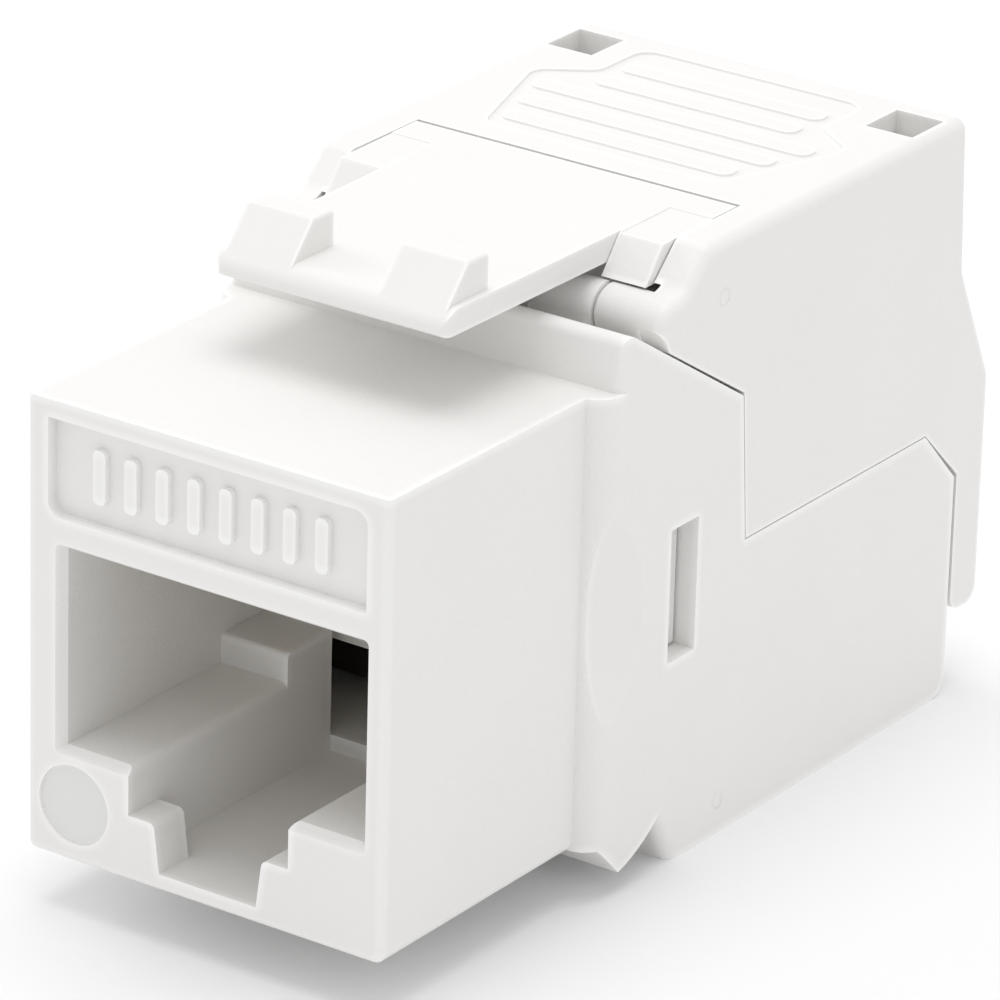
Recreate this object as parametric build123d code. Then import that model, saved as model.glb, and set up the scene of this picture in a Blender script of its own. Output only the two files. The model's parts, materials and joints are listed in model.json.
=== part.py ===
from build123d import *
import os

# Plug port, in millimetres
port_width = 12.1
port_height = 7.02
port_ledge_height = 4.0
port_shift = 0.22
port_depth = 12.0
port_lead_in = 0.24
port_lead_depth = 0.38
latch_slot_width = 6.5
latch_slot_height = 2.35
port_floor = 0.6
port_lip = 1.6
tongue_top_width = 4.4
tongue_low_width = 3.95
port_edge_radius = 0.25
stop_length = 2.5
stop_setback = 0.8
stop_height = 1.05
stop_edge_radius = 0.2
sill_height = 1.2

# Front block and shoulder
port_wall = 1.18
brow_height = 5.22
front_edge_radius = 0.2
bottom_edge_radius = 0.35
shoulder_depth = 11.75
shoulder_step = 0.79
shoulder_rise = 2.16
shoulder_lean = 0.12
shoulder_corner_radius = 0.45
crest_radius = 0.35
crease_setback = 0.95
lip_thickness = 1.15
deck_thickness = 1.34
deck_tail = 0.75
scoop_radius = 17.0
scoop_gap = 0.05
scoop_setback = 3.3
scoop_rise = 4.25
wall = 1.12
floor_thickness = 1.1

# Panel groove and foot under the housing
foot_drop = 2.0
tooth_setback = 0.45
tooth_reach = 1.15
tooth_drop = 1.17
groove_reach = 2.15
groove_depth = 0.1
groove_bow = 0.15
foot_lead = 1.0
foot_wall = 1.0
foot_corner_radius = 0.5
foot_rear_radius = 0.8

# Side seam between housing and cap
seam_run = 7.18
seam_fall = 4.47
seam_lean = 0.45
seam_low_height = 8.55
seam_rear_run = 2.1
seam_rear_fall = 2.17
seam_gap = 0.05
shoulder_gap = 0.09
tail_gap = 0.18

# Marks on the front face
label_border_side = 0.85
label_border_low = 1.15
label_border_high = 0.63
label_depth = 0.45
label_corner = 0.5
motif_count = 8
motif_pitch = 1.27
motif_width = 0.5
motif_height = 1.9
motif_rise = 0.25
motif_round = 0.2
disc_radius = 1.43
disc_depth = 0.12
disc_border_side = 0.5
disc_border_low = 0.62

# Hinge shared by the lever and the cap
knuckle_radius = 0.9
knuckle_seam_gap = 0.09
knuckle_gap = 0.04
knuckle_chamfer = 0.15
pin_radius = 0.45
pin_clearance = 0.05
pin_tip_gap = 0.4
cheek_width = 2.5
cheek_setback = 1.8

# Latch lever
lever_overhang = 5.25
lever_gap = 0.45
lever_thickness = 0.9
lever_front_width = 9.3
lever_rear_width = 9.7
lever_rear_radius = 5.95
lever_corner_radius = 0.35
lug_front = 0.54
lug_rear = 0.72
lug_root = 0.22
nose_radius = 0.72
nose_low_radius = 0.12
wing_width = 13.1
wing_front = 1.15
wing_lean = 1.0
wing_rise = 0.97
wing_round = 0.2
wing_clearance = 0.05
wing_pad_depth = 2.9
wing_pad_step = 0.03
wing_pad_fall = 0.06
tab_inner = 1.75
tab_outer = 4.42
tab_rise = 1.26
tab_slope_run = 1.5
tab_crest_length = 1.1
tab_round = 0.12

# Leaf spring under the lever
spring_room = 1.15
spring_thickness = 0.16
spring_front_gap = 0.22
spring_rear_gap = 0.15
spring_side_gap = 0.6
spring_bend = 0.22
spring_clearance = 0.02

# Rear cap
roof_thickness = 1.2
roof_gap = 0.15
ear_side_gap = 0.05
ear_slope_start = 0.42
ear_roof_start = 1.83
ear_top_radius = 0.5
ear_root_radius = 0.45
ear_edge_radius = 0.45
ear_foot_setback = 0.5
cap_rear_setback = 0.2
cap_rear_bulge = 0.13
cap_slope_low_rise = 1.5
cap_slope_high_rise = 5.2
tail_thickness = 1.67
tail_bottom = 1.1
tail_bottom_radius = 0.6
window_width = 1.89
window_length = 2.04
window_border = 0.44
window_wall_gap = 0.08
cable_radius = 3.75
cable_drop = 0.35
cable_clearance = 0.35

# Sunken grip panel with raised bars on the cap's roof
grip_depth = 0.08
grip_rear_gap = 0.37
grip_length = 9.55
grip_front_width = 9.5
grip_wide_width = 13.0
grip_neck_width = 9.2
grip_neck_length = 2.75
grip_flank_length = 1.35
grip_corner_radius = 0.7
grip_bar_count = 5
grip_bar_width = 0.95
grip_bar_round = 0.4
grip_bar_pitch = 1.62
grip_bar_rear_gap = 1.85
grip_border = 0.45

# Slot windows in the housing's sides
slot_lead = 2.88
slot_tail = 0.2
slot_low_rise = 1.55
slot_high_drop = 0.62

# Spring contacts, their sled and comb
contact_count = 8
contact_pitch = 1.02
contact_width = 0.36
contact_thickness = 0.3
contact_bend = 0.55
contact_headroom = 0.6
contact_nose_gap = 0.7
contact_nose_drop = 1.35
contact_free_reach = 0.8
contact_free_drop = 2.42
contact_leg_lead = 2.9
contact_leg_step = 0.9
contact_leg_tail = 0.9
contact_slot_gap = 0.07
contact_bend_room = 0.2
ceiling_start = 2.6
ceiling_margin = 1.43
ceiling_wall = 1.15
sled_port_gap = 0.1
sled_height_gap = 0.3
sled_fit = 0.15
sled_plate_drop = 1.0
sled_plate_lead = 1.35
comb_reach = 1.4
comb_below = 1.0
comb_above = 2.0
comb_rib = 0.28
comb_floor = 0.3
comb_open = 0.5
hook_depth = 0.32
hook_gap = 0.1

# Circuit board
board_standoff = 2.9
board_thickness = 1.0
board_fit = 0.15
board_lead = 0.7
board_rear_gap = 0.5
board_hole_radius = 0.42
board_hole_sides = 8
board_ledge = 0.7

# Terminal block and blades
block_lead = 0.2
block_margin = 1.65
block_base = 1.2
row_rise = 6.6
row_cable_gap = 0.2
row_wall_gap = 0.3
blade_pitch = 2.2
blade_per_row = 4
blade_thickness = 0.4
blade_width = 1.4
blade_rise = 2.5
blade_slot = 0.3
blade_slot_depth = 2.6
blade_mouth = 0.9
blade_mouth_depth = 0.7
blade_fit = 0.06
blade_tail_width = 0.5
tail_below_board = 0.5
notch_width = 1.0
notch_depth = 2.0

# Wire manager
manager_gap = 0.6
manager_row_gap = 0.4
manager_fit = 0.1
manager_end_gap = 0.7
arch_roof = 2.0
arch_narrowing = 0.7
groove_width = 1.0
groove_above_blade = 1.1
notch_above_blade = 0.5
hook_rise = 0.24
hook_root = 0.6
rear_wall = 1.15

# How far a cut or an overlap reaches past a surface, and how near an edge lies to be picked
past = 1.0
near = 0.01

# Cosine of 45 degrees
diagonal = 0.5**0.5

# Widths worked out from the sizes above
block_width = port_width + 2 * port_wall
body_width = block_width + 2 * shoulder_step
half_width = body_width / 2
inner_half = half_width - wall
cheek_outer = inner_half - cheek_setback
cheek_inner = cheek_outer - cheek_width
pin_reach = (cheek_width - pin_tip_gap) / 2
recess_width = wing_width + 2 * ear_side_gap
row_outer = inner_half - row_wall_gap
row_inner = cable_radius + row_cable_gap
blade_x = (row_outer + row_inner) / 2
window_outer = half_width - window_border
window_inner = window_outer - window_width
label_width = block_width - 2 * label_border_side
disc_x = disc_radius + disc_border_side - block_width / 2

# Depths
stop_end = port_depth - stop_setback
stop_start = stop_end - stop_length
crease_depth = shoulder_depth - crease_setback
lip_rear = shoulder_depth + lip_thickness
hinge_depth = lip_rear + spring_room + knuckle_radius
deck_end = hinge_depth + knuckle_radius + deck_tail
crest_depth = shoulder_depth + shoulder_lean
seam_corner_depth = crest_depth + seam_run
tooth_front = shoulder_depth - tooth_setback
tooth_tip = tooth_front + tooth_reach
groove_apex = tooth_tip + groove_reach
foot_start = groove_apex + foot_lead
bay_deep_start = foot_start + foot_wall
lever_front = shoulder_depth - lever_overhang
sled_front = port_depth + sled_port_gap
contact_leg_front = sled_front + contact_leg_lead
sled_rear = contact_leg_front + contact_leg_step + contact_leg_tail
slot_start = sled_front + slot_lead
slot_end = sled_rear - slot_tail
board_front = contact_leg_front - board_lead
manager_front = hinge_depth + lever_rear_radius + manager_gap
block_front = manager_front - block_lead
blade_rows = [block_front + block_margin + blade_pitch * step for step in range(blade_per_row)]
block_rear = blade_rows[-1] + block_margin
rear_wall_start = block_rear + manager_end_gap
board_rear = rear_wall_start - board_rear_gap
housing_rear = rear_wall_start + rear_wall
tail_front = housing_rear + tail_gap
total_depth = tail_front + tail_thickness
seam_rear_depth = housing_rear - seam_rear_run
window_end = rear_wall_start - window_wall_gap
window_start = window_end - window_length

# Heights, from the underside of the front block
port_top = port_ledge_height + port_height
block_height = port_top + brow_height
shoulder_height = block_height + shoulder_rise
seam_corner_height = shoulder_height - seam_fall
seam_slope = -seam_fall / seam_run
seam_steepness = (1 + seam_slope**2) ** 0.5
knuckle_offset = (knuckle_radius + knuckle_seam_gap) * seam_steepness
hinge_height = shoulder_height + seam_slope * (hinge_depth - crest_depth) + knuckle_offset
lever_low = hinge_height + knuckle_radius + lever_gap
lever_top = lever_low + lever_thickness
cap_top = lever_top
roof_low = cap_top - roof_thickness
deck_low = block_height - deck_thickness
ceiling_height = deck_low - ceiling_wall
contact_top = ceiling_height - contact_headroom
contact_free_height = port_top - contact_free_drop
bay_floor = floor_thickness - foot_drop
board_low = bay_floor + board_standoff
board_high = board_low + board_thickness
row_height = board_high + row_rise
blade_top = row_height + blade_rise
housing_rear_height = seam_low_height - seam_rear_fall
cable_height = seam_low_height - cable_drop
slot_low = port_ledge_height + slot_low_rise
slot_high = port_top - slot_high_drop
sled_low = port_ledge_height + sled_height_gap
sled_high = deck_low - sled_height_gap
contact_places = [
    contact_pitch * (step - (contact_count - 1) / 2) + port_shift for step in range(contact_count)
]


def side_shape(points, low_x, high_x):
    """A closed outline in depth and height, drawn out across the width."""
    face = make_face(Plane.YZ * Polyline(*points, close=True))
    return extrude(face, high_x - low_x, dir=(1, 0, 0)).moved(Location((low_x, 0, 0)))


def span(low, high):
    """A rectangular space between two corners."""
    size = [high[axis] - low[axis] for axis in range(3)]
    middle = [(high[axis] + low[axis]) / 2 for axis in range(3)]
    return Box(*size).moved(Location(middle))


def bar(depth, height, radius, low_x, high_x):
    """A round bar across the width."""
    shape = Cylinder(radius, high_x - low_x, rotation=(0, 90, 0))
    return shape.moved(Location(((low_x + high_x) / 2, depth, height)))


def both_sides(shape):
    return [shape, mirror(shape, about=Plane.YZ)]


def seam_line(depth):
    """Height of the slanted seam at a depth."""
    return shoulder_height + seam_slope * (depth - crest_depth)


def level(edges, axis, place):
    """The edges whose middle lies at a place along an axis."""
    return edges.filter_by_position(axis, place - near, place + near)


def at_side(edges):
    """The edges that lie in the left or right side of the body."""
    return [edge for edge in edges if abs(edge.center().X) > half_width - near]


def corner(face, x, y):
    """The corner of a flat outline that lies nearest to a point."""
    return face.vertices().sort_by_distance((x, y, 0))[0]


def front_plane(depth=0.0):
    """An upright plane that faces the front, with its own x across the width and y up."""
    return Plane((0, depth, 0), x_dir=(1, 0, 0), z_dir=(0, -1, 0))


# Front housing
def plan_outline():
    """Seen from above: a narrower front block that steps out to the shoulder in a rounded flare."""
    block = block_width / 2
    run = shoulder_depth - crease_depth
    step = half_width - block
    radius = (run**2 + step**2) / (2 * step)
    middle_depth = (crease_depth + shoulder_depth) / 2
    middle_x = half_width - radius + (radius**2 - (shoulder_depth - middle_depth) ** 2) ** 0.5
    right = [
        Line((0, 0), (block, 0)),
        Line((block, 0), (block, crease_depth)),
        ThreePointArc((block, crease_depth), (middle_x, middle_depth), (half_width, shoulder_depth)),
        Line((half_width, shoulder_depth), (half_width, total_depth)),
        Line((half_width, total_depth), (0, total_depth)),
    ]
    half = make_face(right + [Line((0, total_depth), (0, 0))])
    return half + mirror(half, about=Plane.YZ)


def housing_side_outline():
    """Seen from the side: block, shoulder crest, slanted seam, rear shell, foot, groove and tooth."""
    groove_height = -groove_depth
    bow_depth = (groove_apex + tooth_tip) / 2 + groove_bow
    bow_height = (groove_height - tooth_drop - groove_bow) / 2
    seam_low_depth = seam_corner_depth + seam_lean
    edges = [
        Line((0, 0), (0, block_height)),
        Line((0, block_height), (shoulder_depth, block_height)),
        Line((shoulder_depth, block_height), (crest_depth, shoulder_height)),
        Line((crest_depth, shoulder_height), (seam_corner_depth, seam_corner_height)),
        Line((seam_corner_depth, seam_corner_height), (seam_low_depth, seam_low_height)),
        Line((seam_low_depth, seam_low_height), (seam_rear_depth, seam_low_height)),
        Line((seam_rear_depth, seam_low_height), (housing_rear, housing_rear_height)),
        Line((housing_rear, housing_rear_height), (housing_rear, -foot_drop)),
        Line((housing_rear, -foot_drop), (foot_start, -foot_drop)),
        Line((foot_start, -foot_drop), (groove_apex, groove_height)),
        ThreePointArc((groove_apex, groove_height), (bow_depth, bow_height), (tooth_tip, -tooth_drop)),
        Line((tooth_tip, -tooth_drop), (tooth_front, 0)),
        Line((tooth_front, 0), (0, 0)),
    ]
    outline = make_face(edges)
    outline = fillet(corner(outline, crest_depth, shoulder_height), crest_radius)
    return fillet(corner(outline, housing_rear, -foot_drop), foot_rear_radius)


def housing_shell():
    lower = extrude(plan_outline(), block_height + foot_drop).moved(Location((0, 0, -foot_drop)))
    upper_plan = Rectangle(body_width, total_depth).moved(Location((0, shoulder_depth + total_depth / 2)))
    upper_plan = fillet(upper_plan.vertices().group_by(Axis.Y)[0], shoulder_corner_radius)
    upper = extrude(upper_plan, shoulder_rise + past).moved(Location((0, 0, block_height)))
    side = extrude(Plane.YZ * housing_side_outline(), half_width, both=True)
    shell = (lower + upper) & side
    low_edges = level(shell.edges().filter_by(Axis.Y), Axis.Z, 0)
    shell = fillet(low_edges.group_by(Axis.Y)[0], bottom_edge_radius)
    front_edges = shell.edges().filter_by(Axis.Z).group_by(Axis.Y)[0]
    shell = fillet(front_edges, front_edge_radius)
    foot_face = level(shell.edges(), Axis.Y, (foot_start + groove_apex) / 2)
    return fillet(at_side(foot_face), foot_corner_radius)


def port_outline(tongue_shape):
    """The port seen from the front; the tongue's cut is wider at its top."""
    half = port_width / 2
    slot = latch_slot_width / 2
    right = [(half, port_top), (half, port_ledge_height), (slot, port_ledge_height)] + tongue_shape
    left = [(-x, z) for x, z in reversed(right)]
    outline = make_face(Polyline(*right, *left, close=True))
    rounded = [corner(outline, side * slot, port_ledge_height) for side in (-1, 1)]
    return fillet(rounded, port_edge_radius)


def port_cavity():
    """The plug's room, the latch slot under it, the cut for the tongue and the lead-in at the mouth."""
    half = port_width / 2
    slot = latch_slot_width / 2
    tongue_high = tongue_top_width / 2
    tongue_low = tongue_low_width / 2
    inside = port_outline([(slot, port_floor)])
    lip = port_outline(
        [(slot, latch_slot_height), (tongue_high, latch_slot_height), (tongue_low, port_floor)]
    )
    posts = [corner(lip, side * tongue_high, latch_slot_height) for side in (-1, 1)]
    lip = fillet(posts, port_edge_radius)
    cavity = extrude(front_plane(port_depth) * inside, port_depth - port_lip)
    cavity += extrude(front_plane(port_lip) * lip, port_lip + past)
    mouth_middle = (port_top + port_ledge_height) / 2
    mouth_outline = Rectangle(port_width, port_height).moved(Location((0, mouth_middle)))
    cavity += loft(
        [
            front_plane() * offset(mouth_outline, port_lead_in),
            front_plane(port_lead_depth) * mouth_outline,
        ]
    )
    cavity += span((-half, stop_end, sill_height), (half, port_depth, port_top))
    cavity -= span((-slot, stop_end, 0), (slot, port_depth + past, sill_height))
    stop_top = port_ledge_height + stop_height
    stop = span((slot, stop_start, latch_slot_height), (half + past, stop_end, stop_top))
    stop = fillet(stop.edges().group_by(Axis.Z)[-1].group_by(Axis.Y)[0], stop_edge_radius)
    for piece in both_sides(stop):
        cavity -= piece
    return cavity.moved(Location((port_shift, 0, 0)))


def label_field():
    """A shallow field above the port with two rounded corners, and a row of raised bars in it."""
    low = port_top + label_border_low
    high = block_height - label_border_high
    outline = Rectangle(label_width, high - low).moved(Location((0, (low + high) / 2)))
    rounded = [corner(outline, -label_width / 2, low), corner(outline, label_width / 2, high)]
    outline = fillet(rounded, label_corner)
    field = extrude(front_plane(label_depth) * outline, label_depth + past)
    motif = Rectangle(motif_width, motif_height).moved(Location((0, (low + high) / 2)))
    motif = fillet(motif.vertices(), motif_round)
    for step in range(motif_count):
        x = motif_pitch * (step - (motif_count - 1) / 2)
        raised = front_plane(label_depth) * motif.moved(Location((x, 0)))
        field -= extrude(raised, motif_rise)
    return field


def housing_bay():
    """The room behind the port and the open top that the cap covers."""
    bay = span((-inner_half, port_depth, sill_height), (inner_half, rear_wall_start, deck_low))
    bay += span((-inner_half, bay_deep_start, bay_floor), (inner_half, rear_wall_start, deck_low))
    opening = span((-inner_half, deck_end, deck_low - past), (inner_half, rear_wall_start, cap_top))
    pocket = span((-inner_half, lip_rear, block_height), (inner_half, deck_end + past, cap_top))
    ceiling_half = (contact_count - 1) * contact_pitch / 2 + ceiling_margin
    ceiling = span(
        (port_shift - ceiling_half, ceiling_start, port_top - past),
        (port_shift + ceiling_half, port_depth + past, ceiling_height),
    )
    return bay + opening + pocket + ceiling


def bearing_cheek():
    web = span(
        (cheek_inner, hinge_depth - knuckle_radius, block_height),
        (cheek_outer, hinge_depth + knuckle_radius, hinge_height),
    )
    return web + bar(hinge_depth, hinge_height, knuckle_radius, cheek_inner, cheek_outer)


def make_front_housing():
    shell = housing_shell()
    shell -= port_cavity()
    shell -= label_field()
    shell -= housing_bay()
    disc = Circle(disc_radius).moved(Location((disc_x, disc_radius + disc_border_low)))
    shell -= extrude(front_plane(disc_depth) * disc, disc_depth + past)
    scoop = Sphere(scoop_radius).moved(
        Location(
            (
                block_width / 2 + scoop_gap + scoop_radius,
                shoulder_depth - scoop_setback,
                port_ledge_height + scoop_rise,
            )
        )
    )
    slot = span((inner_half - past, slot_start, slot_low), (half_width + past, slot_end, slot_high))
    for piece in both_sides(scoop) + both_sides(slot):
        shell -= piece
    ledge = span(
        (inner_half - board_ledge, bay_deep_start, bay_floor),
        (inner_half + wall / 2, rear_wall_start, board_low),
    )
    for piece in both_sides(bearing_cheek()) + both_sides(ledge):
        shell += piece
    shell -= bar(hinge_depth, hinge_height, pin_radius + pin_clearance, -inner_half, inner_half)
    cable = Cylinder(cable_radius + cable_clearance, 2 * (rear_wall + past), rotation=(90, 0, 0))
    shell -= cable.moved(Location((0, housing_rear, cable_height)))
    return shell


# Latch lever
def lever_plate():
    """A plate with a rounded nose, slightly wider at its rear."""
    rear_depth = hinge_depth + lever_rear_radius
    middle = ((lever_front + rear_depth) / 2, (lever_low + lever_top) / 2)
    side = Rectangle(rear_depth - lever_front, lever_thickness).moved(Location(middle))
    side = fillet(corner(side, lever_front, lever_top), nose_radius)
    side = fillet(corner(side, lever_front, lever_low), nose_low_radius)
    plate = extrude(Plane.YZ * side, lever_rear_width / 2, both=True)
    front = lever_front_width / 2
    rear = lever_rear_width / 2
    right = [(front, lever_front), (rear, rear_depth)]
    left = [(-x, y) for x, y in reversed(right)]
    plan = make_face(Polyline(*right, *left, close=True))
    plan = fillet([corner(plan, side * front, lever_front) for side in (-1, 1)], lever_corner_radius)
    return plate & extrude(plan, lever_top + past)


def lever_tab():
    """A thumb tab whose front slope starts halfway round the plate's nose."""
    nose_drop = nose_radius * (1 - diagonal)
    crest = lever_front + tab_slope_run
    tab_top = lever_top + tab_rise
    points = [
        (lever_front + nose_drop, lever_top - nose_drop),
        (crest, tab_top),
        (crest + tab_crest_length, tab_top),
        (crest + tab_crest_length, lever_top - nose_drop),
        (lever_front + nose_radius, lever_top - nose_drop * 2),
    ]
    tab = side_shape(points, tab_inner, tab_outer)
    return fillet(tab.edges().group_by(Axis.Z)[-1], tab_round)


def lever_wing():
    """The part beside the plate that droops to the knuckle, with a slightly sunken top."""
    front = hinge_depth + wing_front
    rear_depth = hinge_depth + lever_rear_radius
    low = hinge_height + wing_rise
    inner = lever_rear_width / 2 - wing_clearance
    points = [(front, lever_top), (front - wing_lean, low), (rear_depth, low), (rear_depth, lever_top)]
    wing = side_shape(points, inner, wing_width / 2)
    wing = fillet(wing.edges().filter_by(Axis.X).group_by(Axis.Z)[-1].group_by(Axis.Y)[0], wing_round)
    pad = [
        (front - past, lever_top - wing_pad_fall),
        (front + wing_pad_depth, lever_top - wing_pad_step),
        (front + wing_pad_depth, lever_top + past),
        (front - past, lever_top + past),
    ]
    return wing - side_shape(pad, lever_rear_width / 2, half_width)


def make_latch_lever():
    lever = lever_plate()
    for piece in both_sides(lever_wing()) + both_sides(lever_tab()):
        lever += piece
    lever &= bar(hinge_depth, hinge_height, lever_rear_radius, -half_width, half_width) + span(
        (-half_width, 0, 0), (half_width, hinge_depth, lever_top + tab_rise + past)
    )
    lever -= bar(hinge_depth, hinge_height, knuckle_radius + wing_clearance, -half_width, half_width)
    lug_outer = cheek_inner - knuckle_gap
    web = span(
        (-lug_outer, hinge_depth - lug_front, hinge_height),
        (lug_outer, hinge_depth + lug_rear, lever_low + lug_root),
    )
    barrel = bar(hinge_depth, hinge_height, knuckle_radius, -lug_outer, lug_outer)
    pin_end = cheek_inner + pin_reach
    pin = bar(hinge_depth, hinge_height, pin_radius, -pin_end, pin_end)
    return lever + web + barrel + pin


def make_latch_spring():
    """A leaf bent to a C: it lies on the deck and pushes the lever up."""
    half = spring_thickness / 2
    low = block_height + half
    high = lever_low - spring_clearance - half
    front = lip_rear + spring_front_gap
    rear = hinge_depth - knuckle_radius - spring_rear_gap
    path = FilletPolyline((rear, low), (front, low), (front, high), (rear, high), radius=spring_bend)
    start = Plane((0, rear, low), x_dir=(1, 0, 0), z_dir=(0, -1, 0))
    width = 2 * (cheek_inner - spring_side_gap)
    return sweep(start * Rectangle(width, spring_thickness), path=Plane.YZ * path)


# Rear cap
def cap_side_outline():
    """Seen from the side: the ear, the seam's upper edge, the rear collar and the roof."""
    foot_depth = hinge_depth - ear_foot_setback
    foot = (foot_depth, seam_line(foot_depth) + shoulder_gap)
    reach = knuckle_radius * diagonal
    knuckle_front = (hinge_depth - knuckle_radius, hinge_height)
    knuckle_side = (hinge_depth - reach, hinge_height + reach)
    knuckle_top = (hinge_depth, hinge_height + knuckle_radius)
    root_end = (hinge_depth + ear_slope_start + ear_root_radius, knuckle_top[1] + ear_slope_start)
    roof_front = (hinge_depth + ear_roof_start, cap_top)
    cap_rear_top = housing_rear - cap_rear_setback
    cap_rear_mid = housing_rear + cap_rear_bulge
    edges = [
        Line(foot, knuckle_front),
        ThreePointArc(knuckle_front, knuckle_side, knuckle_top),
        TangentArc(knuckle_top, root_end, tangent=(1, 0)),
        Line(root_end, roof_front),
    ]
    points = [
        roof_front,
        (cap_rear_top, cap_top),
        (cap_rear_mid, cable_height + cap_slope_high_rise),
        (total_depth, cable_height + cap_slope_low_rise),
        (total_depth, tail_bottom),
        (tail_front, tail_bottom),
        (tail_front, housing_rear_height + seam_gap),
        (seam_rear_depth, seam_low_height + seam_gap),
        (seam_corner_depth + seam_lean + seam_gap, seam_low_height + seam_gap),
        (seam_corner_depth + seam_gap, seam_corner_height + shoulder_gap),
        foot,
    ]
    edges += [Line(first, second) for first, second in zip(points, points[1:])]
    outline = make_face(edges)
    outline = fillet(corner(outline, *roof_front), ear_top_radius)
    outline = fillet(corner(outline, cap_rear_top, cap_top), ear_top_radius)
    tail_corners = [corner(outline, depth, tail_bottom) for depth in (tail_front, total_depth)]
    return fillet(tail_corners, tail_bottom_radius)


def grip_half_width(depth):
    """Half the width of the grip panel: widening from its front, then a neck between the windows."""
    rear = window_end - grip_rear_gap
    front = rear - grip_length
    wide = rear - grip_neck_length - grip_flank_length
    if depth > wide:
        return grip_neck_width / 2
    share = (depth - front) / (wide - front)
    return (grip_front_width + (grip_wide_width - grip_front_width) * share) / 2


def grip_panel():
    """The sunken field with its raised bars left standing."""
    rear = window_end - grip_rear_gap
    front = rear - grip_length
    neck = rear - grip_neck_length
    wide = neck - grip_flank_length
    right = [
        (grip_front_width / 2, front),
        (grip_wide_width / 2, wide),
        (grip_neck_width / 2, neck),
        (grip_neck_width / 2, rear),
    ]
    left = [(-x, y) for x, y in reversed(right)]
    panel = make_face(Polyline(*right, *left, close=True))
    panel = fillet(panel.vertices(), grip_corner_radius)
    for step in range(grip_bar_count):
        depth = rear - grip_bar_rear_gap - grip_bar_pitch * step
        length = 2 * (grip_half_width(depth) - grip_border)
        bar_outline = Rectangle(length, grip_bar_width).moved(Location((0, depth)))
        panel -= fillet(bar_outline.vertices(), grip_bar_round)
    return extrude(panel, past).moved(Location((0, 0, cap_top - grip_depth)))


def make_rear_cap():
    cap = extrude(Plane.YZ * cap_side_outline(), half_width, both=True)
    cap = fillet([edge for edge in at_side(cap.edges()) if edge.center().Z > hinge_height], ear_edge_radius)
    cap -= span((-inner_half, 0, 0), (inner_half, rear_wall_start, roof_low))
    recess_radius = lever_rear_radius + roof_gap
    cap -= bar(hinge_depth, hinge_height, recess_radius, -recess_width / 2, recess_width / 2)
    inner = cheek_outer + knuckle_gap
    knuckle = bar(hinge_depth, hinge_height, knuckle_radius, inner, recess_width / 2 + ear_edge_radius)
    knuckle = chamfer(knuckle.edges().group_by(Axis.X)[0], knuckle_chamfer)
    pin = bar(hinge_depth, hinge_height, pin_radius, cheek_outer - pin_reach, inner + wall / 2)
    for piece in both_sides(knuckle) + both_sides(pin):
        cap += piece
    window = span((window_inner, window_start, roof_low - past), (window_outer, window_end, cap_top + past))
    for piece in both_sides(window):
        cap -= piece
    cap -= grip_panel()
    cable = Cylinder(cable_radius, 2 * (total_depth - rear_wall_start + past), rotation=(90, 0, 0))
    cap -= cable.moved(Location((0, total_depth, cable_height)))
    return cap


def make_wire_manager():
    """A block with a cable tunnel, a blade groove on each side and four wire notches a side."""
    half = inner_half - manager_fit
    manager_low = row_height + manager_row_gap
    manager_top = roof_low - manager_fit
    body = span((-half, manager_front, manager_low), (half, block_rear, manager_top))
    arch = cable_radius - arch_narrowing / 2
    arch_height = manager_top - arch_roof - arch
    tunnel = span((-arch, 0, 0), (arch, total_depth, arch_height))
    tunnel += Cylinder(arch, total_depth * 2, rotation=(90, 0, 0)).moved(Location((0, 0, arch_height)))
    body -= tunnel
    groove = span(
        (blade_x - groove_width / 2, manager_front - past, manager_low - past),
        (blade_x + groove_width / 2, blade_rows[-1] + blade_width, blade_top + groove_above_blade),
    )
    for piece in both_sides(groove):
        body -= piece
    for depth in blade_rows:
        body -= span(
            (-half - past, depth - notch_width / 2, 0),
            (half + past, depth + notch_width / 2, blade_top + notch_above_blade),
        )
    hook = span(
        (window_inner + manager_fit, window_start + manager_fit, roof_low - hook_root),
        (half, window_end - manager_fit * 2, roof_low + hook_rise),
    )
    for piece in both_sides(hook):
        body += piece
    return body


# Contact sled and contacts
def contact_leg(index):
    return contact_leg_front + contact_leg_step * (index % 2)


def make_contact(index):
    """A wire spring: tail in the board, up, forward over the sled, round its nose and back down."""
    leg = contact_leg(index)
    nose = ceiling_start + contact_nose_gap
    path = FilletPolyline(
        (leg, board_low - tail_below_board),
        (leg, contact_top),
        (nose, contact_top),
        (nose, contact_top - contact_nose_drop),
        (sled_front - contact_free_reach, contact_free_height),
        radius=contact_bend,
    )
    start = Plane((0, leg, board_low - tail_below_board), x_dir=(1, 0, 0), z_dir=(0, 0, 1))
    wire = sweep(start * Rectangle(contact_width, contact_thickness), path=Plane.YZ * path)
    return wire.moved(Location((contact_places[index], 0, 0)))


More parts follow.
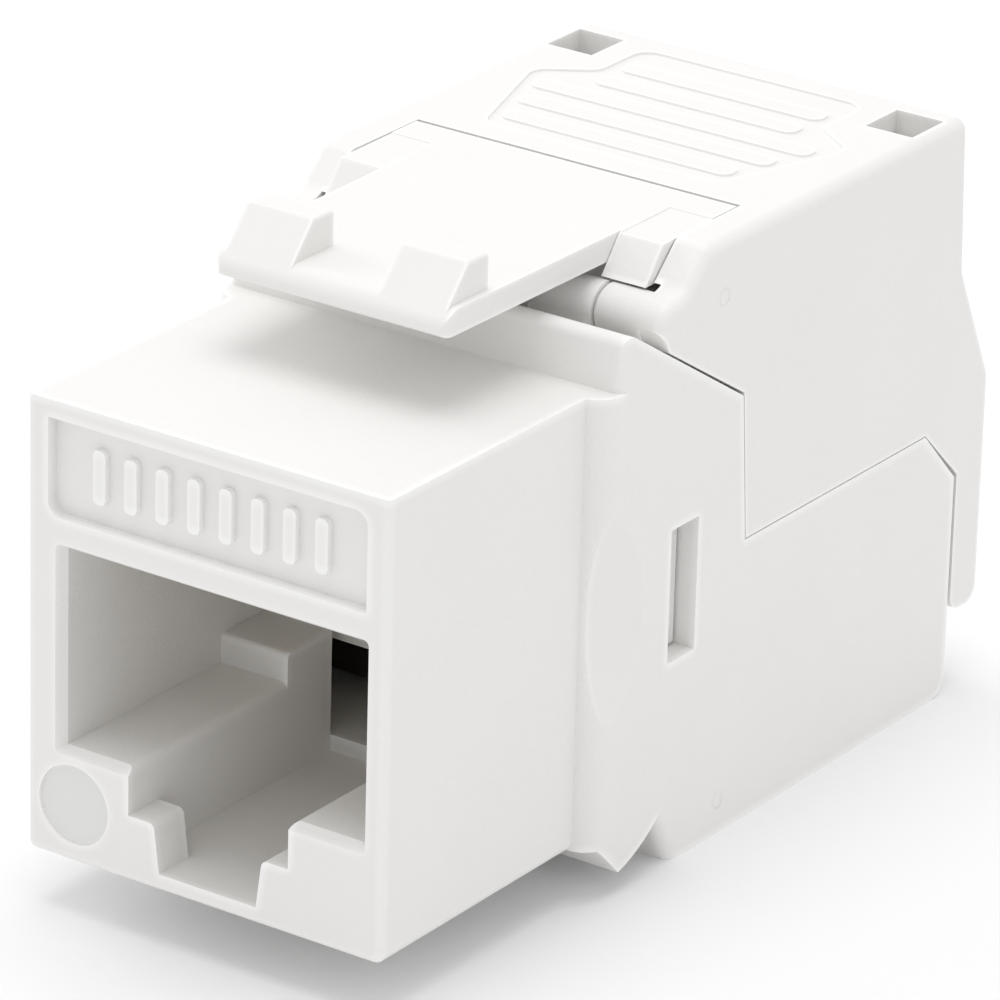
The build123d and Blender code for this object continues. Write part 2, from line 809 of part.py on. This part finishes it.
def make_contact_sled():
    """A block behind the port with a plate under the contacts, and a comb that parts their free ends."""
    half = inner_half - sled_fit
    body = span((-half, sled_front, sled_low), (half, sled_rear, sled_high))
    plate_half = (contact_count - 1) * contact_pitch / 2 + ceiling_margin - sled_fit
    body += span(
        (port_shift - plate_half, ceiling_start + sled_plate_lead, contact_top - sled_plate_drop),
        (port_shift + plate_half, sled_front + past, contact_top + contact_thickness / 2),
    )
    comb_low = contact_free_height - comb_below
    comb_high = contact_free_height + comb_above
    body += span(
        (contact_places[0] - contact_pitch / 2 - comb_rib / 2, sled_front - comb_reach, comb_low),
        (contact_places[-1] + contact_pitch / 2 + comb_rib / 2, sled_front + past, comb_high),
    )
    slot_half = contact_width / 2 + contact_slot_gap
    gap_half = (contact_pitch - comb_rib) / 2
    under = contact_top - contact_thickness / 2 - contact_slot_gap
    for index, place in enumerate(contact_places):
        leg = contact_leg(index)
        front = leg - contact_thickness / 2 - contact_bend_room
        body -= span((place - slot_half, 0, under), (place + slot_half, leg, sled_high + past))
        body -= span((place - slot_half, front, 0), (place + slot_half, sled_rear + past, sled_high + past))
        body -= span(
            (place - gap_half, 0, comb_low + comb_floor),
            (place + gap_half, sled_front, comb_high + comb_open),
        )
    hook = span(
        (half - wall / 2, slot_start + hook_gap, slot_low + hook_gap),
        (inner_half + hook_depth, slot_end - hook_gap, slot_high - hook_gap),
    )
    for piece in both_sides(hook):
        body += piece
    return body


# Circuit board, terminal block and blades
def make_circuit_board():
    half = inner_half - board_fit
    board = span((-half, board_front, board_low), (half, board_rear, board_high))
    holes = [(contact_places[index], contact_leg(index)) for index in range(contact_count)]
    holes += [(side * blade_x, depth) for side in (-1, 1) for depth in blade_rows]
    hole = extrude(RegularPolygon(board_hole_radius, board_hole_sides), board_thickness * 3)
    for x, y in holes:
        board -= hole.moved(Location((x, y, board_low - board_thickness)))
    return board


def make_terminal_block():
    """A channel-shaped block whose two rows hold the blades and take the wires from above."""
    block = span((-row_outer, block_front, board_high), (row_outer, block_rear, row_height))
    block -= span((-row_inner, 0, board_high + block_base), (row_inner, total_depth, row_height + past))
    for depth in blade_rows:
        block -= span(
            (-row_outer - past, depth - notch_width / 2, row_height - notch_depth),
            (row_outer + past, depth + notch_width / 2, row_height + past),
        )
        across = blade_thickness / 2 + blade_fit
        along = blade_width / 2 + blade_fit
        pocket = span(
            (blade_x - across, depth - along, 0), (blade_x + across, depth + along, row_height + past)
        )
        for piece in both_sides(pocket):
            block -= piece
    return block


def make_blade(side, depth):
    """A flat blade with a V mouth over a narrow slot, and a tail through the board."""
    wide = blade_width / 2
    slot = blade_slot / 2
    mouth = blade_mouth / 2
    tail = blade_tail_width / 2
    tail_end = board_low - tail_below_board
    mouth_low = blade_top - blade_mouth_depth
    slot_low_end = mouth_low - blade_slot_depth
    right = [
        (slot, slot_low_end),
        (slot, mouth_low),
        (mouth, blade_top),
        (wide, blade_top),
        (wide, board_high),
        (tail, board_high),
        (tail, tail_end),
    ]
    outline = right + [(-u, v) for u, v in reversed(right)]
    shape = side_shape([(depth + u, v) for u, v in outline], -blade_thickness / 2, blade_thickness / 2)
    return shape.moved(Location((side * blade_x, 0, 0)))


# Every piece by name, moved so that the origin is under the middle of the foot
def make_pieces():
    pieces = {
        "front_housing": make_front_housing(),
        "latch_lever": make_latch_lever(),
        "latch_spring": make_latch_spring(),
        "rear_cap": make_rear_cap(),
        "wire_manager": make_wire_manager(),
        "contact_sled": make_contact_sled(),
        "circuit_board": make_circuit_board(),
        "terminal_block": make_terminal_block(),
    }
    for index in range(contact_count):
        pieces[f"contact_{index + 1}"] = make_contact(index)
    places = [(side, depth) for side in (-1, 1) for depth in blade_rows]
    for index, (side, depth) in enumerate(places):
        pieces[f"blade_{index + 1}"] = make_blade(side, depth)
    return pieces


os.makedirs("parts", exist_ok=True)
to_origin = Location((0, -total_depth / 2, foot_drop))
for name, piece in make_pieces().items():
    export_step(piece.moved(to_origin), f"parts/{name}.step")
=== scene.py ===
import json
import math

import bpy
from mathutils import Matrix, Vector

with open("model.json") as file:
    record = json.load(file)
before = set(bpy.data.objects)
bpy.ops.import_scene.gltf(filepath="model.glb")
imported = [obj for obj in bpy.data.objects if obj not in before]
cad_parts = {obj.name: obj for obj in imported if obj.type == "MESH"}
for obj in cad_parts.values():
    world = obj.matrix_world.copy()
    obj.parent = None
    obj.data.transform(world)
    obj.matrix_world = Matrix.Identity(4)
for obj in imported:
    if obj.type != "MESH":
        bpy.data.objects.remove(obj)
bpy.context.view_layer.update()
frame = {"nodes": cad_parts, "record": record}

# Lengths are written in millimetres and turned into metres here
MM = 0.001

# The front face stands this far in front of the origin, and the foot this far below the block
FRONT_OFFSET = 17.45
FOOT_DROP = 2.0

# Camera, measured from the front face's foot
CAMERA_AZIMUTH = 34.276
CAMERA_ELEVATION = 23.087
CAMERA_ROLL = 1.646
CAMERA_TARGET = (1.929, 15.0, 9.475)
CAMERA_DISTANCE = 244.038
SENSOR = 36.0
FOCAL_SHARE = 7.27613
SHIFT_X = -0.02058
SHIFT_Y = 0.01137


def place(x, y, z):
    """A point measured from the middle of the front face's foot, in the row frame."""
    return Vector((x, y - FRONT_OFFSET, z + FOOT_DROP)) * MM


def make_camera():
    azimuth = math.radians(CAMERA_AZIMUTH)
    elevation = math.radians(CAMERA_ELEVATION)
    roll = math.radians(CAMERA_ROLL)
    back = Vector(
        (
            math.sin(azimuth) * math.cos(elevation),
            -math.cos(azimuth) * math.cos(elevation),
            math.sin(elevation),
        )
    )
    right = (-back).cross(Vector((0, 0, 1))).normalized()
    up = right.cross(-back)
    right, up = (
        math.cos(roll) * right + math.sin(roll) * up,
        math.cos(roll) * up - math.sin(roll) * right,
    )
    data = bpy.data.cameras.new("camera")
    data.sensor_width = SENSOR
    data.lens = SENSOR * FOCAL_SHARE
    data.shift_x = SHIFT_X
    data.shift_y = SHIFT_Y
    data.clip_start = 0.01
    data.clip_end = 10
    camera = bpy.data.objects.new("camera", data)
    bpy.context.scene.collection.objects.link(camera)
    turn = Matrix((right, up, back)).transposed().to_4x4()
    spot = place(*CAMERA_TARGET) + back * CAMERA_DISTANCE * MM
    camera.matrix_world = Matrix.Translation(spot) @ turn
    bpy.context.scene.camera = camera


# Colours: each surface wanders between a low and a high one
WHITE_LOW = (0.83, 0.82, 0.805)
WHITE_HIGH = (0.855, 0.845, 0.829)
INSERT_LOW = (0.79, 0.78, 0.76)
INSERT_HIGH = (0.83, 0.82, 0.8)
BOARD_LOW = (0.02, 0.014, 0.011)
BOARD_HIGH = (0.034, 0.025, 0.02)
GOLD_LOW = (0.8, 0.58, 0.22)
GOLD_HIGH = (0.88, 0.68, 0.3)
TIN_LOW = (0.62, 0.62, 0.6)
TIN_HIGH = (0.74, 0.74, 0.72)
STEEL_LOW = (0.5, 0.5, 0.5)
STEEL_HIGH = (0.62, 0.62, 0.6)
PAPER_LOW = (0.9, 0.9, 0.905)
PAPER_HIGH = (0.92, 0.92, 0.925)

# Painted highlights: lighter rims along outward edges, reaching this far onto the faces
EDGE_HIGHLIGHT_COLOUR = (0.95, 0.945, 0.935)
EDGE_HIGHLIGHT_FULL = 0.5
HOUSING_HIGHLIGHT_REACH = 0.35
THIN_HIGHLIGHT_REACH = 0.18
INSERT_HIGHLIGHT_REACH = 0.08

# The darker round mark on the front, and the marks that ejector pins leave in the right side
DISC_COLOUR = (0.77, 0.768, 0.76)
DISC_MARK = (-5.3, 0.12, 2.05)
DISC_REACH = 1.5
DISC_RIM = 0.25
HOUSING_PIN = (8.02, 18.42, -0.73)
CAP_PIN = (8.02, 17.65, 17.88)
PIN_RADIUS = 0.35
PIN_RIM = 0.12
PIN_DEPTH = 0.05
PIN_STRENGTH = 0.7

# How rough each surface is, the middle of its range and how far it strays
PLASTIC_ROUGH = 0.42
LEVER_ROUGH = 0.4
INSERT_ROUGH = 0.45
PLASTIC_STRAY = 0.05
METAL_STRAY = 0.08
GOLD_ROUGH = 0.25
TIN_ROUGH = 0.38
STEEL_ROUGH = 0.3
BOARD_SMOOTH = 0.25
BOARD_ROUGH = 0.4

# Noise, in waves a metre, and the depth in millimetres of the relief that it makes
FLOW = 260.0
SHEEN = 700.0
GRAIN = 9000.0
GRAIN_DEPTH = 0.02
GRAIN_STRENGTH = 0.5
BOARD_FLOW = 500.0
BOARD_SHEEN = 900.0
BOARD_GRAIN = 4000.0
BOARD_DEPTH = 0.01
PLATE_GRAIN = 1500.0
STEEL_GRAIN = 2500.0
METAL_DEPTH = 0.005
FINE_STRENGTH = 0.2
PAPER_FLOW = 40.0


class Nodes:
    """A material's node tree with short calls for adding and joining nodes."""

    def __init__(self, name):
        self.material = bpy.data.materials.new(name)
        self.material.use_nodes = True
        self.tree = self.material.node_tree
        self.shader = self.tree.nodes["Principled BSDF"]
        self.output = self.tree.nodes["Material Output"]
        self.place = self.add("ShaderNodeTexCoord").outputs["Object"]

    def add(self, kind, **values):
        node = self.tree.nodes.new(kind)
        for name, value in values.items():
            setattr(node, name, value)
        return node

    def join(self, source, target):
        self.tree.links.new(source, target)

    def noise(self, scale, detail=4.0, roughness=0.55):
        node = self.add("ShaderNodeTexNoise")
        node.inputs["Scale"].default_value = scale
        node.inputs["Detail"].default_value = detail
        node.inputs["Roughness"].default_value = roughness
        self.join(self.place, node.inputs["Vector"])
        return node.outputs["Fac"]

    def spread(self, source, low, high):
        node = self.add("ShaderNodeMapRange")
        node.inputs["To Min"].default_value = low
        node.inputs["To Max"].default_value = high
        self.join(source, node.inputs["Value"])
        return node.outputs["Result"]

    def colours(self, source, low, high):
        node = self.add("ShaderNodeMix", data_type="RGBA")
        node.inputs["A"].default_value = (*low, 1)
        node.inputs["B"].default_value = (*high, 1)
        self.join(source, node.inputs["Factor"])
        self.join(node.outputs["Result"], self.shader.inputs["Base Color"])

    def shine(self, scale, low, high):
        """Roughness that wanders between two values."""
        self.join(self.spread(self.noise(scale), low, high), self.shader.inputs["Roughness"])

    def bump(self, source, strength, depth, under=None):
        node = self.add("ShaderNodeBump")
        node.inputs["Strength"].default_value = strength
        node.inputs["Distance"].default_value = depth
        self.join(source, node.inputs["Height"])
        if under is not None:
            self.join(under, node.inputs["Normal"])
        return node.outputs["Normal"]

    def near(self, centre, radius, soft):
        """One inside a ball round a point, fading to zero over the last stretch of its radius."""
        reach = self.add("ShaderNodeVectorMath", operation="DISTANCE")
        reach.inputs[1].default_value = centre
        self.join(self.place, reach.inputs[0])
        node = self.add("ShaderNodeMapRange", interpolation_type="SMOOTHSTEP")
        node.inputs["From Min"].default_value = radius
        node.inputs["From Max"].default_value = radius - soft
        self.join(reach.outputs["Value"], node.inputs["Value"])
        return node.outputs["Result"]

    def tint(self, mask, colour):
        """Turn the base colour into another inside a mask."""
        source = self.shader.inputs["Base Color"].links[0].from_socket
        node = self.add("ShaderNodeMix", data_type="RGBA")
        self.join(mask, node.inputs["Factor"])
        self.join(source, node.inputs["A"])
        node.inputs["B"].default_value = (*colour, 1)
        self.join(node.outputs["Result"], self.shader.inputs["Base Color"])

    def edge_highlight_mask(self, reach):
        """Mask for painted edge highlights, one along outward edges and zero on flats: rays into the
        solid soon come out near an edge.
        """
        node = self.add("ShaderNodeAmbientOcclusion", samples=4, inside=True, only_local=True)
        node.inputs["Distance"].default_value = reach
        mask = self.add("ShaderNodeMapRange")
        mask.inputs["From Min"].default_value = 1.0
        mask.inputs["From Max"].default_value = EDGE_HIGHLIGHT_FULL
        self.join(node.outputs["AO"], mask.inputs["Value"])
        return mask.outputs["Result"]


def moulded_plastic(name, low, high, roughness, edge, pin=None, disc=None):
    """White injection-moulded plastic: faint flow mottling, satin grain, painted highlights along outward
    edges and a pin mark.
    """
    nodes = Nodes(name)
    nodes.colours(nodes.noise(FLOW), low, high)
    if disc is not None:
        nodes.tint(nodes.near(place(*disc), DISC_REACH * MM, DISC_RIM * MM), DISC_COLOUR)
    grain = nodes.noise(GRAIN, detail=2.0)
    nodes.shine(SHEEN, roughness - PLASTIC_STRAY, roughness + PLASTIC_STRAY)
    # Painted highlight: the base colour is lightened along outward edges
    nodes.tint(nodes.edge_highlight_mask(edge * MM), EDGE_HIGHLIGHT_COLOUR)
    normal = None
    if pin is not None:
        mark = nodes.near(place(*pin), PIN_RADIUS * MM, PIN_RIM * MM)
        normal = nodes.bump(mark, PIN_STRENGTH, PIN_DEPTH * MM)
    normal = nodes.bump(grain, GRAIN_STRENGTH, GRAIN_DEPTH * MM, normal)
    nodes.join(normal, nodes.shader.inputs["Normal"])
    nodes.shader.inputs["IOR"].default_value = 1.5
    nodes.shader.inputs["Specular IOR Level"].default_value = 0.4
    return nodes.material


def metal(name, low, high, roughness, grain):
    """Plated or bright metal, with sheen and relief finer than its mottling."""
    nodes = Nodes(name)
    nodes.colours(nodes.noise(grain), low, high)
    nodes.shader.inputs["Metallic"].default_value = 1.0
    nodes.shine(grain * 2, roughness - METAL_STRAY, roughness + METAL_STRAY)
    relief = nodes.bump(nodes.noise(grain * 3), FINE_STRENGTH, METAL_DEPTH * MM)
    nodes.join(relief, nodes.shader.inputs["Normal"])
    return nodes.material


def board_lacquer(name):
    nodes = Nodes(name)
    nodes.colours(nodes.noise(BOARD_FLOW), BOARD_LOW, BOARD_HIGH)
    nodes.shine(BOARD_SHEEN, BOARD_SMOOTH, BOARD_ROUGH)
    relief = nodes.bump(nodes.noise(BOARD_GRAIN), FINE_STRENGTH, BOARD_DEPTH * MM)
    nodes.join(relief, nodes.shader.inputs["Normal"])
    return nodes.material


def make_materials():
    """One material for each slot in the record."""
    return {
        "white_housing": moulded_plastic(
            "housing_plastic", WHITE_LOW, WHITE_HIGH, PLASTIC_ROUGH, HOUSING_HIGHLIGHT_REACH, HOUSING_PIN, DISC_MARK
        ),
        "white_cap": moulded_plastic(
            "cap_plastic", WHITE_LOW, WHITE_HIGH, PLASTIC_ROUGH, THIN_HIGHLIGHT_REACH, CAP_PIN
        ),
        "white_lever": moulded_plastic(
            "lever_plastic", WHITE_LOW, WHITE_HIGH, LEVER_ROUGH, THIN_HIGHLIGHT_REACH
        ),
        "white_insert": moulded_plastic(
            "insert_plastic", INSERT_LOW, INSERT_HIGH, INSERT_ROUGH, INSERT_HIGHLIGHT_REACH
        ),
        "board": board_lacquer("board_lacquer"),
        "gold_contact": metal("gold_plate", GOLD_LOW, GOLD_HIGH, GOLD_ROUGH, PLATE_GRAIN),
        "tinned_blade": metal("tin_plate", TIN_LOW, TIN_HIGH, TIN_ROUGH, PLATE_GRAIN),
        "spring_steel": metal("spring_steel", STEEL_LOW, STEEL_HIGH, STEEL_ROUGH, STEEL_GRAIN),
    }


def dress_nodes(materials):
    """Every carried-over piece takes the material of its slot in the record."""
    slots = {row["node"]: row["material_slot"] for row in frame["record"]["subparts"]}
    for name, node in frame["nodes"].items():
        node.data.materials.clear()
        node.data.materials.append(materials[slots[name]])


# Floor, backdrop and light, with lengths in metres and power in watts
FLOOR_SIZE = 4.0
FLOOR_GLOW = 0.04
FLOOR_FADE_START = 0.1
FLOOR_FADE_END = 0.6
WORLD_STRENGTH = 0.81
LIGHT_TARGET = (0, 0, 0.01)
TOP_SPOT = (0.0, 0.0, 0.4)
TOP_SIZE = 0.3
TOP_POWER = 0.52
LEFT_SPOT = (-0.42, 0.03, 0.2)
LEFT_SIZE = 0.25
LEFT_POWER = 0.42


def floor_paper():
    """Pale matt paper that the camera sees turn white as it runs away from the object."""
    nodes = Nodes("floor_paper")
    nodes.colours(nodes.noise(PAPER_FLOW), PAPER_LOW, PAPER_HIGH)
    nodes.shader.inputs["Roughness"].default_value = 0.9
    nodes.shader.inputs["Specular IOR Level"].default_value = 0.1
    glow = nodes.add("ShaderNodeEmission")
    path = nodes.add("ShaderNodeLightPath")
    close = nodes.near((0, 0, 0), FLOOR_FADE_END, FLOOR_FADE_END - FLOOR_FADE_START)
    share = nodes.add("ShaderNodeMath", operation="MULTIPLY")
    nodes.join(path.outputs["Is Camera Ray"], share.inputs[0])
    nodes.join(nodes.spread(close, 1.0, FLOOR_GLOW), share.inputs[1])
    mix = nodes.add("ShaderNodeMixShader")
    nodes.join(share.outputs["Value"], mix.inputs[0])
    nodes.join(nodes.shader.outputs["BSDF"], mix.inputs[1])
    nodes.join(glow.outputs["Emission"], mix.inputs[2])
    nodes.join(mix.outputs["Shader"], nodes.output.inputs["Surface"])
    return nodes.material


def make_floor():
    half = FLOOR_SIZE / 2
    corners = [(-half, -half, 0), (half, -half, 0), (half, half, 0), (-half, half, 0)]
    mesh = bpy.data.meshes.new("floor")
    mesh.from_pydata(corners, [], [(0, 1, 2, 3)])
    mesh.materials.append(floor_paper())
    floor = bpy.data.objects.new("floor", mesh)
    bpy.context.scene.collection.objects.link(floor)


def make_world(strength):
    """White light from everywhere, and plain white where the camera sees past the floor."""
    world = bpy.data.worlds.new("world")
    bpy.context.scene.world = world
    world.use_nodes = True
    tree = world.node_tree
    tree.nodes.clear()
    output = tree.nodes.new("ShaderNodeOutputWorld")
    path = tree.nodes.new("ShaderNodeLightPath")
    mix = tree.nodes.new("ShaderNodeMixShader")
    tree.links.new(path.outputs["Is Camera Ray"], mix.inputs[0])
    for place_in_mix, value in ((1, strength), (2, 1.0)):
        background = tree.nodes.new("ShaderNodeBackground")
        background.inputs["Color"].default_value = (1, 1, 1, 1)
        background.inputs["Strength"].default_value = value
        tree.links.new(background.outputs[0], mix.inputs[place_in_mix])
    tree.links.new(mix.outputs[0], output.inputs["Surface"])


def soft_light(name, spot, size, power):
    data = bpy.data.lights.new(name, "AREA")
    data.shape = "DISK"
    data.size = size
    data.energy = power
    light = bpy.data.objects.new(name, data)
    light.location = spot
    light.rotation_mode = "QUATERNION"
    light.rotation_quaternion = (Vector(LIGHT_TARGET) - Vector(spot)).to_track_quat("-Z", "Y")
    bpy.context.scene.collection.objects.link(light)


make_camera()
dress_nodes(make_materials())
make_floor()
make_world(WORLD_STRENGTH)
soft_light("top_softbox", TOP_SPOT, TOP_SIZE, TOP_POWER)
soft_light("left_softbox", LEFT_SPOT, LEFT_SIZE, LEFT_POWER)
bpy.context.scene.view_settings.view_transform = "Standard"
